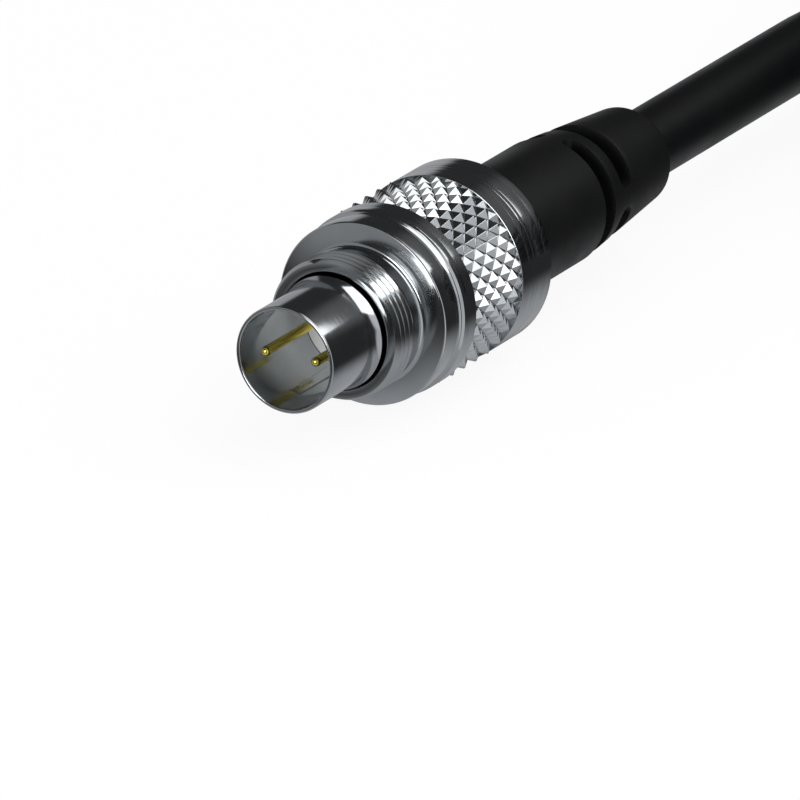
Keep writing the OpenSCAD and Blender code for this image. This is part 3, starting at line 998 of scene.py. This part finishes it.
@dataclass
class LockingRing:
    """The turned locking ring: thread, neck, flange, plain bands, diamond knurl and inner groove."""

    bore_front: float = 3.645
    bore_edge: float = 0.13
    slope: float = 0.08
    thread: float = 4.5
    root: float = 4.21
    pitch: float = 0.5
    first_crest: float = 6.1
    face: float = 5.75
    chamfer: float = 0.2
    neck: float = 4.25
    neck_start: float = 8.0
    thread_end: float = 7.75
    flange_a: float = 9.15
    fillet: float = 0.3
    flange: float = 5.825
    step: float = 11.2
    band: float = 5.95
    knurl_start: float = 12.65
    knurl_end: float = 18.3
    crest: float = 6.05
    valley: float = 5.69
    phase: float = 7.0
    points_round: int = 32
    rows: int = 4
    end: float = 21.95
    flange_edge: float = 0.08
    band_edge: float = 0.07
    end_edge: float = 0.16
    cove_land: float = 0.15
    cove: float = 0.5
    cove_depth: float = 0.08
    crest_half: float = 0.03
    root_from: float = 0.2
    root_to: float = 0.3
    crests: int = 9
    skirt: float = 0.2
    skirt_taper: float = 0.94
    buried: float = 0.05
    worn: float = 0.012
    bore: float = 4.4
    web_end: float = 9.95
    groove: float = 4.78
    groove_start: float = 12.05
    groove_end: float = 12.61
    steps: int = 128

    def body(self) -> Piece:
        """Turns everything but the thread and the knurl.

        Returns:
            The body, open where the thread joins it.
        """
        rear = self.end - self.knurl_end
        outline = [(self.neck, self.neck_start)]
        face_a = self.flange_a - self.slope
        outline += arc(self.neck + self.fillet, face_a - self.fillet, self.fillet, 180, 90, 6)
        edge, round_to = self.flange_edge, self.band_edge
        outline += [(self.flange - edge, self.flange_a), (self.flange, self.flange_a + edge)]
        outline += [(self.flange - self.cove_depth * math.sin(math.pi * k / 8),
                     self.step - self.cove_land - self.cove * (8 - k) / 8) for k in range(9)]
        outline += [(self.flange, self.step - edge), (self.band - round_to, self.step),
                    (self.band, self.step + round_to)]
        outline += self.line_at(self.step + 0.62, 0.008)
        sunk = self.valley - self.buried
        outline += [(self.band, self.knurl_start), (sunk, self.knurl_start),
                    (sunk, self.knurl_end), (self.band, self.knurl_end)]
        for place, depth in ((0.9, 0.006), (0.41 * rear, 0.009), (0.51 * rear, 0.009), (2.83, 0.006)):
            outline += self.line_at(self.knurl_end + place, depth)
        outline += [(self.band, self.end - self.end_edge), (self.band - self.end_edge, self.end),
                    (self.bore, self.end),
                    (self.bore, self.groove_end), (self.groove, self.groove_end),
                    (self.groove, self.groove_start), (self.bore, self.groove_start),
                    (self.bore, self.web_end),
                    (self.bore_front, self.web_end), (self.bore_front, self.face + self.bore_edge),
                    (self.bore_front + self.bore_edge, self.face - self.slope / 2),
                    (self.thread - self.chamfer, self.face)]
        return turn_outline("locking_ring_turned", outline, self.steps, closed=False)

    def line_at(self, place: float, depth: float) -> Outline:
        """Gives a V-shaped turned line in a plain band.

        Args:
            place: Where it lies.
            depth: How deep it is.

        Returns:
            Its outline.
        """
        half = 0.05 + 0.4 * depth
        return [(self.band, place - half), (self.band - depth, place), (self.band, place + half)]

    def thread_limit(self, place: float) -> float:
        """Gives the largest radius that the thread may have at a place."""
        if place <= self.thread_end:
            return min(self.thread, self.thread - self.chamfer + (place - self.face))
        share = (place - self.thread_end) / (self.neck_start - self.thread_end)
        return self.thread + (self.neck - self.thread) * min(share, 1.0)

    def thread_form(self) -> Piece:
        """Winds the thread: one zigzag line, screwed one turn, then trimmed to its chamfer and its run-out.

        Returns:
            The thread's surface.
        """
        outline: Outline = []
        first = self.first_crest - 3 * self.pitch
        for k in range(self.crests):
            crest = first + k * self.pitch
            outline += [(self.thread, crest - self.crest_half), (self.thread, crest + self.crest_half),
                        (self.root, crest + self.root_from), (self.root, crest + self.root_to)]
        thread = draw_outline("thread", outline)
        select_everything()
        bpy.ops.mesh.subdivide(number_cuts=1)
        set_mode("OBJECT")
        screw = thread.modifiers.new("thread", "SCREW")
        screw.axis = "Y"
        screw.angle = math.tau
        screw.screw_offset = self.pitch * MM
        screw.steps = screw.render_steps = self.steps
        screw.iterations = 1
        bpy.ops.object.modifier_apply(modifier=screw.name)
        for vertex in thread.data.vertices:
            x, y, z = vertex.co
            place, r = y / MM, math.hypot(x, z) / MM
            if place <= self.face:
                place, wanted = self.face, self.thread - self.chamfer
            elif place >= self.neck_start:
                place, wanted = self.neck_start, self.neck
            else:
                wanted = min(r, self.thread_limit(place))
            vertex.co = (x * wanted / r, place * MM, z * wanted / r)
        return thread

    def knurl(self) -> Piece:
        """Raises the knurl from a turned sleeve: every second point of its grid is drawn out.

        Returns:
            The knurl, closed by a buried inner wall.
        """
        columns, rows = 2 * self.points_round, 2 * self.rows
        pace = (self.knurl_end - self.knurl_start) / rows
        outline = [(self.valley, self.knurl_start + j * pace) for j in range(rows + 1)]
        knurl = turn_outline("knurl", outline, columns, closed=False, start_deg=self.phase)
        set_mode("EDIT")

        def index(p: Vector) -> tuple[int, int]:
            """Gives a vertex's column and row."""
            turn = math.degrees(math.atan2(p.z, p.x)) - self.phase
            return round(turn * columns / 360), round((p.y / MM - self.knurl_start) / pace)

        def raised(p: Vector) -> bool:
            """Says whether a vertex is a point of a full pyramid."""
            i, j = index(p)
            return (i + j) % 2 == 1 and 0 < j < rows

        def cut_through(p: Vector) -> bool:
            """Says whether a vertex is a point of a pyramid cut off at the knurl's end."""
            i, j = index(p)
            return (i + j) % 2 == 1 and j in (0, rows)

        for test, radius in ((raised, self.crest), (cut_through, self.band - 0.03)):
            grow = radius / self.valley
            select_where(knurl, test)
            bpy.ops.transform.resize(value=(grow, 1, grow), center_override=(0, 0, 0))
        select_everything()
        bpy.ops.mesh.quads_convert_to_tris(quad_method="SHORTEST_DIAGONAL")
        for place, way in ((self.knurl_start, -1), (self.knurl_end, 1)):
            select_where(knurl, lambda p, at=place: abs(p.y / MM - at) < 0.001)
            extrude(0, way * self.skirt, 0)
            bpy.ops.transform.resize(value=(self.skirt_taper, 1, self.skirt_taper), center_override=(0, 0, 0))
        set_mode("OBJECT")
        soften_edges(knurl, self.worn, 1, 12)
        return knurl

    def build(self) -> Piece:
        """Makes the whole ring as one piece.

        Returns:
            The piece.
        """
        body = self.body()
        soften_edges(body, 0.02, 2, 25)
        ring = join([body, self.thread_form()])
        set_mode("EDIT")
        tidy_mesh()
        bpy.ops.mesh.dissolve_degenerate(threshold=1e-7)
        select_everything()
        bpy.ops.mesh.normals_make_consistent(inside=False)
        set_mode("OBJECT")
        ring = join([ring, self.knurl()])
        set_on_axis(ring)
        smooth(ring, 18)
        declare(ring, RING_NICKEL, Body.RING, Slot.RING, "locking_ring")
        return ring


@dataclass
class StrainRelief:
    """The moulded relief: a straight grip, then a taper with two staggered rows of bend slots."""

    radius: float = 4.15
    tip: float = 3.25
    start: float = 12.98
    taper: float = 31.75
    end: float = 41.8
    rounding: float = 0.4
    bore: float = 2.33
    shell_bore: float = 3.73
    ferrule_bore: float = 3.43
    slot_width: float = 1.45
    rear_slot_width: float = 1.6
    rib: float = 1.1
    bridge: float = 1.4
    floor: float = 2.7
    edge: float = 0.08
    slot_setback: float = 0.05
    cut_past: float = 1.0
    jacket_from: float = 21.6
    ferrule_end: float = 20.03
    ferrule_start: float = 16.06

    def outline(self) -> Outline:
        """Gives the relief's outline, inside and outside."""
        inside = [(self.bore, self.end), (self.bore, self.jacket_from), (self.ferrule_bore, self.ferrule_end),
                  (self.ferrule_bore, self.ferrule_start), (self.shell_bore, self.ferrule_start)]
        steps = 6
        tip_arc = arc(self.tip - self.rounding, self.end - self.rounding, self.rounding, 5, 90, 6)
        low, high = (self.radius, self.taper), tip_arc[0]
        sides = [(low[0] + (high[0] - low[0]) * k / steps, low[1] + (high[1] - low[1]) * k / steps)
                 for k in range(1, steps)]
        return ([(self.shell_bore, self.start), (self.radius - self.edge, self.start),
                 (self.radius, self.start + self.edge), low] + sides + tip_arc + inside)

    def slot(self, start: float, width: float, turn: float) -> Piece:
        """Makes the cutter of one bend slot: a strip round the axis that narrows to round ends.

        Args:
            start: Where the slot starts.
            width: Its width.
            turn: Direction of the bridge that it starts from, in degrees.

        Returns:
            The cutter.
        """
        half = math.degrees(math.asin((self.bridge + width) / (2 * self.radius)))
        bow = math.degrees(width / 2 / self.radius)
        reach, middle, steps = self.radius + self.cut_past, start + width / 2, 6
        widths = [math.sin(math.pi / 2 * k / steps) for k in range(1, steps + 1)]
        places = [-bow * math.cos(math.pi / 2 * k / steps) for k in range(1, steps + 1)]
        low, high = middle - width / 2 * widths[0], middle + width / 2 * widths[0]
        line = [(self.floor, low), (reach, low), (reach, high), (self.floor, high), (self.floor, low)]
        cutter = draw_outline("slot", line, turn + half + places[0])
        select_everything()
        bpy.ops.mesh.remove_doubles(threshold=MERGE)
        bpy.ops.mesh.edge_face_add()
        moves = [(b - a, wide / narrow, 1)
                 for a, b, narrow, wide in zip(places, places[1:], widths, widths[1:])]
        back = [(move, 1 / grow, 1) for move, grow, _ in reversed(moves)]
        for move, grow, count in moves + [(180 - 2 * half, 1.0, 48)] + back:
            bpy.ops.mesh.spin(steps=count, angle=math.radians(move), center=(0, 0, 0), axis=(0, 1, 0))
            bpy.ops.transform.resize(value=(1, grow, 1), center_override=(0, middle * MM, 0))
        tidy_mesh()
        set_mode("OBJECT")
        return cutter

    def build(self) -> Piece:
        """Makes the relief.

        Returns:
            The piece.
        """
        relief = turn_outline("strain_relief_moulded", self.outline(), 144)
        first = self.taper + self.slot_setback
        second = first + self.slot_width + self.rib
        for start, width, turn in ((first, self.slot_width, 90), (second, self.rear_slot_width, 0)):
            for side in (0, 180):
                cut(relief, self.slot(start, width, turn + side))
        soften_edges(relief, 0.09, 3, 35)
        set_on_axis(relief)
        smooth(relief, 35)
        declare(relief, RELIEF_RUBBER, Body.PLUG, Slot.RELIEF, "strain_relief")
        return relief


# ---------------------------------------------------------------- studio


@dataclass(frozen=True)
class Panel:
    """One soft area of the studio that metal mirrors, seen from the plug."""

    azimuth_deg: float
    elevation_deg: float
    half_deg: float
    soft_deg: float
    level: float

    def weight(self, n: Nodes, way: Socket) -> Socket:
        """Gives how brightly the panel shows in a direction.

        Args:
            n: The nodes of the world.
            way: The direction.

        Returns:
            The panel's level inside its edge, falling to nothing across its soft border.
        """
        turn, tilt = math.radians(self.azimuth_deg), math.radians(self.elevation_deg)
        flat = math.cos(tilt)
        dot = n.add("ShaderNodeVectorMath", operation="DOT_PRODUCT")
        n.link(way, dot.inputs[0])
        dot.inputs[1].default_value = (math.sin(turn) * flat, math.cos(turn) * flat, math.sin(tilt))
        outside = math.cos(math.radians(self.half_deg + self.soft_deg))
        return n.remap(dot.outputs["Value"], outside, math.cos(math.radians(self.half_deg)), 0.0, self.level,
                       soft=True)


@dataclass
class Studio:
    """A pale floor in a dim room with a few softboxes, which metal mirrors."""

    floor_size: float = 3.0
    floor_drop: float = 0.00005
    floor_white: float = 0.92
    room: float = 0.035
    panels: tuple[Panel, ...] = (
        Panel(0, -90, 52, 20, 0.45),  # pale table
        Panel(-75, -5, 42, 6, 0.42),  # left softbox
        Panel(95, 25, 24, 12, 0.85),  # upper right softbox
        Panel(95, -20, 24, 12, 0.7),  # lower right softbox
        Panel(20, 30, 8, 18, 0.1),  # rear glow
        Panel(140, 40, 6, 11, 0.3),  # key softbox
        Panel(-150, 12, 20, 14, 0.32),  # front fill
    )

    def build(self) -> None:
        """Makes the floor, the world and the lamps."""
        self.floor()
        self.world()
        self.lamp("key", (0.3, 0.15, 0.5), 0.6, 2.6)
        self.lamp("fill", (0.05, -0.6, 0.12), 0.3, 2.0)

    def floor(self) -> None:
        """Makes the floor."""
        deselect_all()
        bpy.ops.mesh.primitive_plane_add(size=self.floor_size, location=(0, 0, -self.floor_drop))
        floor = bpy.context.object
        floor.name = "floor"
        floor.visible_glossy = False
        material = bpy.data.materials.new("floor")
        material.use_nodes = True
        n = Nodes(material.node_tree)
        nodes = material.node_tree.nodes
        shader = nodes["Principled BSDF"]
        n.fill(shader, {"Base Color": linear(0.85, 0.85, 0.85), "Roughness": 1.0, "Specular IOR Level": 0.0})
        glow = n.add("ShaderNodeEmission")
        path = n.add("ShaderNodeLightPath")
        mix = n.add("ShaderNodeMixShader")
        white = n.math("MULTIPLY", path.outputs["Is Camera Ray"], self.floor_white)
        n.fill(mix, {0: white, 1: shader.outputs[0], 2: glow.outputs[0]})
        n.link(mix.outputs[0], nodes["Material Output"].inputs["Surface"])
        floor.data.materials.append(material)

    def world(self) -> None:
        """Makes the world: white to the eye, an even light, and the room with its softboxes in mirrors."""
        world = bpy.data.worlds.new("studio")
        bpy.context.scene.world = world
        world.use_nodes = True
        n = Nodes(world.node_tree)
        background = world.node_tree.nodes["Background"]
        way = n.add("ShaderNodeTexCoord").outputs["Generated"]
        total = None
        for panel in self.panels:
            level = panel.weight(n, way)
            total = level if total is None else n.math("MAXIMUM", total, level)
        mirrored = n.add("ShaderNodeCombineColor")
        for channel, tint in (("Red", 0.99), ("Green", 1.0), ("Blue", 1.03)):
            n.link(n.math("MULTIPLY", n.math("ADD", total, self.room), tint), mirrored.inputs[channel])
        path = n.add("ShaderNodeLightPath")
        even = n.mix(path.outputs["Is Glossy Ray"], linear(0.62, 0.62, 0.63), mirrored.outputs[0])
        seen = n.mix(path.outputs["Is Camera Ray"], even, linear(1, 1, 1))
        n.fill(background, {"Color": seen, "Strength": 1.0})

    def lamp(self, name: str, place: Point, size: float, power: float) -> None:
        """Adds a softbox that looks at the plug.

        Args:
            name: Its name.
            place: Where it stands, in metres.
            size: Its width.
            power: Its power, in watts.
        """
        data = bpy.data.lights.new(name, "AREA")
        data.size = size
        data.energy = power
        lamp = bpy.data.objects.new(name, data)
        lamp.location = place
        lamp.rotation_euler = (-Vector(place)).to_track_quat("-Z", "Y").to_euler()
        bpy.context.scene.collection.objects.link(lamp)


def dress_cad_nodes(nodes: dict[str, Piece]) -> None:
    """Gives each CAD node that stays shown its own finish.

    Args:
        nodes: The frame's nodes.
    """
    for name, finish in CAD_FINISHES.items():
        finish.dress(nodes[name])
        log.info("%s: finish %s", name, finish.name)


def main() -> None:
    """Builds the looks round the frame."""
    bpy.ops.wm.read_factory_settings(use_empty=True)
    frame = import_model()
    scene = bpy.context.scene
    scene.view_settings.view_transform = "Standard"
    ViewPoint().build()
    lead = Lead().build()
    log.info("%s built", lead.name)
    for builder in (ShieldTube(), LockingRing(), StrainRelief()):
        piece = builder.build()
        log.info("%s: %d faces", piece.name, len(piece.data.polygons))
    for pin in Contacts().build():
        log.info("%s: %d faces", pin.name, len(pin.data.polygons))
    dress_cad_nodes(frame["nodes"])
    Studio().build()
    deselect_all()


if __name__ == "__main__":
    main()
